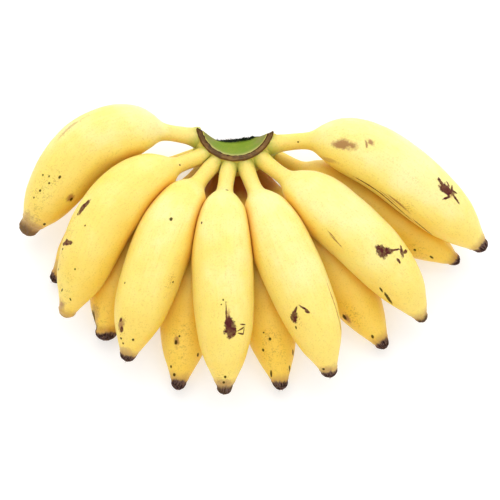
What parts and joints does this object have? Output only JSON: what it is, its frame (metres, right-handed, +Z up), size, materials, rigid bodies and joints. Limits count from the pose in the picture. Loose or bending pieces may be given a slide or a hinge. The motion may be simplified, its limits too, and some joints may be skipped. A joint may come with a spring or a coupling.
{
  "type": "hand of bananas",
  "caption": "Hand of short, plump ripe bananas in two rows, joined at one cut crown and lying arched on a table.",
  "frame": {"origin": "middle of the hand's footprint, on the table that it lies on", "axes": "+X across the fan of fingers, +Y from the tips towards the crown, +Z up"},
  "size_m": [0.2963, 0.18, 0.0693],
  "materials": {
    "crown": "matte, freshly cut green flesh with a dried rim",
    "upper_peel": "smooth satin banana peel",
    "lower_peel": "smooth satin banana peel, a shade riper"
  },
  "bodies": {
    "root": {"crown": "crown", "finger_upper_1": "upper_peel", "finger_upper_2": "upper_peel", "finger_upper_3": "upper_peel", "finger_upper_4": "upper_peel", "finger_upper_5": "upper_peel", "finger_upper_6": "upper_peel", "finger_upper_7": "upper_peel", "finger_lower_1": "lower_peel", "finger_lower_2": "lower_peel", "finger_lower_3": "lower_peel", "finger_lower_4": "lower_peel", "finger_lower_5": "lower_peel", "finger_lower_6": "lower_peel"}
  },
  "joints": []
}
